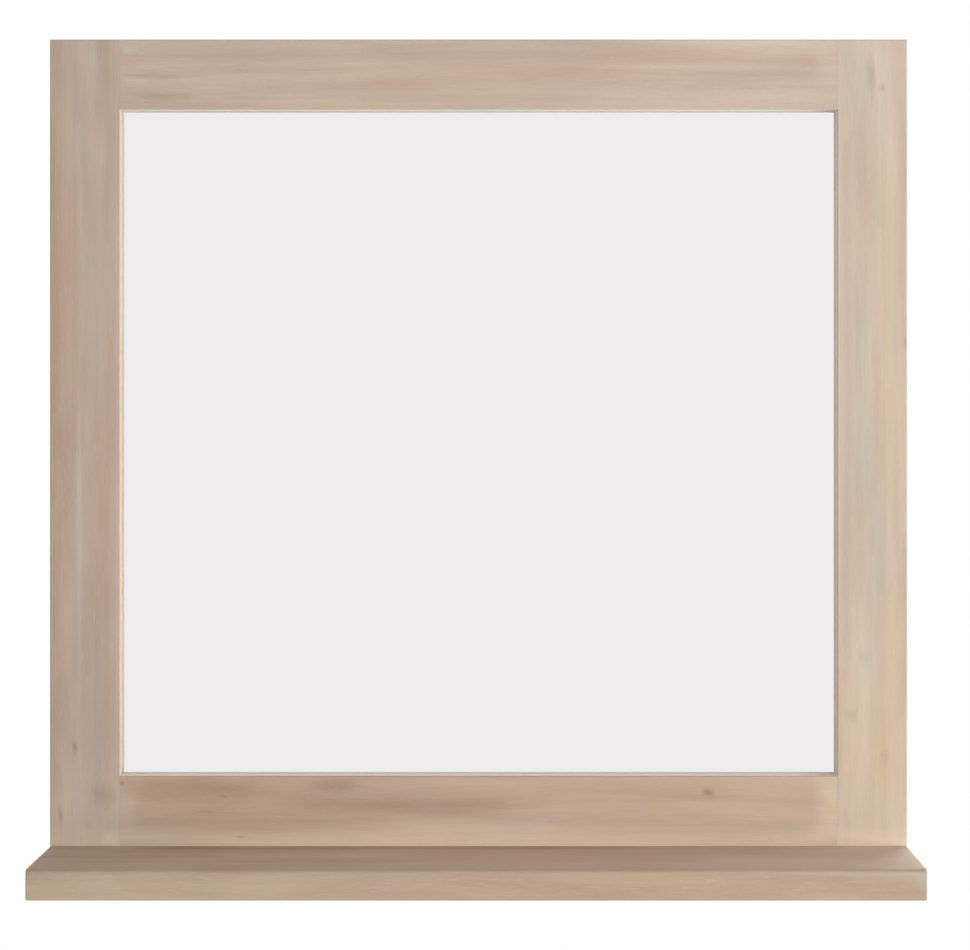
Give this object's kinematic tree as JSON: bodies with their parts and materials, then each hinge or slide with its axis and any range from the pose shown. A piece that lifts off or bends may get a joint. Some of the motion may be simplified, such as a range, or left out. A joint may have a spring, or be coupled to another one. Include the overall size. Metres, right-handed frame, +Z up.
{
  "type": "mirror with shelf",
  "caption": "Wall mirror in a rebated wooden frame standing on a deeper shelf board, with keyhole plates, bumpers and turn buttons on its back.",
  "frame": {"origin": "on the wall's surface, midway between the two wall screws that carry the mirror", "axes": "+X to the right of a person facing the glass, +Y into the wall, +Z up; the glass faces -Y"},
  "size_m": [0.6, 0.125, 0.5855],
  "materials": {
    "whitewashed_wood": "limed and sealed, matt",
    "silvered_glass": "silvered float glass, painted back",
    "grey_card": "grey board, matt",
    "hardboard": "smooth hardboard",
    "cork": "cork strip",
    "beech": "fluted dowel, raw",
    "zinc_steel": "zinc plated",
    "rubber": "matt"
  },
  "bodies": {
    "mirror": {"left_stile": "whitewashed_wood", "right_stile": "whitewashed_wood", "top_rail": "whitewashed_wood", "bottom_rail": "whitewashed_wood", "shelf_board": "whitewashed_wood", "mirror_glass": "silvered_glass", "card_sheet": "grey_card", "back_panel": "hardboard", "setting_block_left": "cork", "setting_block_right": "cork", "shelf_dowel_left": "beech", "shelf_dowel_right": "beech", "shelf_screw_left_stile": "zinc_steel", "shelf_screw_rail_left": "zinc_steel", "shelf_screw_rail_right": "zinc_steel", "shelf_screw_right_stile": "zinc_steel", "hanger_plate_left": "zinc_steel", "hanger_screw_left_lower": "zinc_steel", "hanger_screw_left_upper": "zinc_steel", "wall_bumper_left": "rubber", "hanger_plate_right": "zinc_steel", "hanger_screw_right_lower": "zinc_steel", "hanger_screw_right_upper": "zinc_steel", "wall_bumper_right": "rubber", "turn_button_screw_left_lower": "zinc_steel", "turn_button_screw_left_upper": "zinc_steel", "turn_button_screw_right_lower": "zinc_steel", "turn_button_screw_right_upper": "zinc_steel", "turn_button_screw_top_left": "zinc_steel", "turn_button_screw_top_right": "zinc_steel", "turn_button_screw_bottom_left": "zinc_steel", "turn_button_screw_bottom_right": "zinc_steel"},
    "turn_button_left_lower": {"turn_button_left_lower": "zinc_steel"},
    "turn_button_left_upper": {"turn_button_left_upper": "zinc_steel"},
    "turn_button_right_lower": {"turn_button_right_lower": "zinc_steel"},
    "turn_button_right_upper": {"turn_button_right_upper": "zinc_steel"},
    "turn_button_top_left": {"turn_button_top_left": "zinc_steel"},
    "turn_button_top_right": {"turn_button_top_right": "zinc_steel"},
    "turn_button_bottom_left": {"turn_button_bottom_left": "zinc_steel"},
    "turn_button_bottom_right": {"turn_button_bottom_right": "zinc_steel"}
  },
  "joints": [
    {"name": "turn_left_lower_pivot", "type": "hinge", "parent": "mirror", "child": "turn_button_left_lower", "pos_m": [-0.269, -0.00415, -0.32288], "axis": [0, 1, 0], "continuous": true},
    {"name": "turn_left_upper_pivot", "type": "hinge", "parent": "mirror", "child": "turn_button_left_upper", "pos_m": [-0.269, -0.00415, -0.08962], "axis": [0, 1, 0], "continuous": true},
    {"name": "turn_right_lower_pivot", "type": "hinge", "parent": "mirror", "child": "turn_button_right_lower", "pos_m": [0.269, -0.00415, -0.32288], "axis": [0, 1, 0], "continuous": true},
    {"name": "turn_right_upper_pivot", "type": "hinge", "parent": "mirror", "child": "turn_button_right_upper", "pos_m": [0.269, -0.00415, -0.08962], "axis": [0, 1, 0], "continuous": true},
    {"name": "turn_top_left_pivot", "type": "hinge", "parent": "mirror", "child": "turn_button_top_left", "pos_m": [-0.1255, -0.00415, 0.045], "axis": [0, 1, 0], "continuous": true},
    {"name": "turn_top_right_pivot", "type": "hinge", "parent": "mirror", "child": "turn_button_top_right", "pos_m": [0.1255, -0.00415, 0.045], "axis": [0, 1, 0], "continuous": true},
    {"name": "turn_bottom_left_pivot", "type": "hinge", "parent": "mirror", "child": "turn_button_bottom_left", "pos_m": [-0.1255, -0.00415, -0.4575], "axis": [0, 1, 0], "continuous": true},
    {"name": "turn_bottom_right_pivot", "type": "hinge", "parent": "mirror", "child": "turn_button_bottom_right", "pos_m": [0.1255, -0.00415, -0.4575], "axis": [0, 1, 0], "continuous": true}
  ]
}
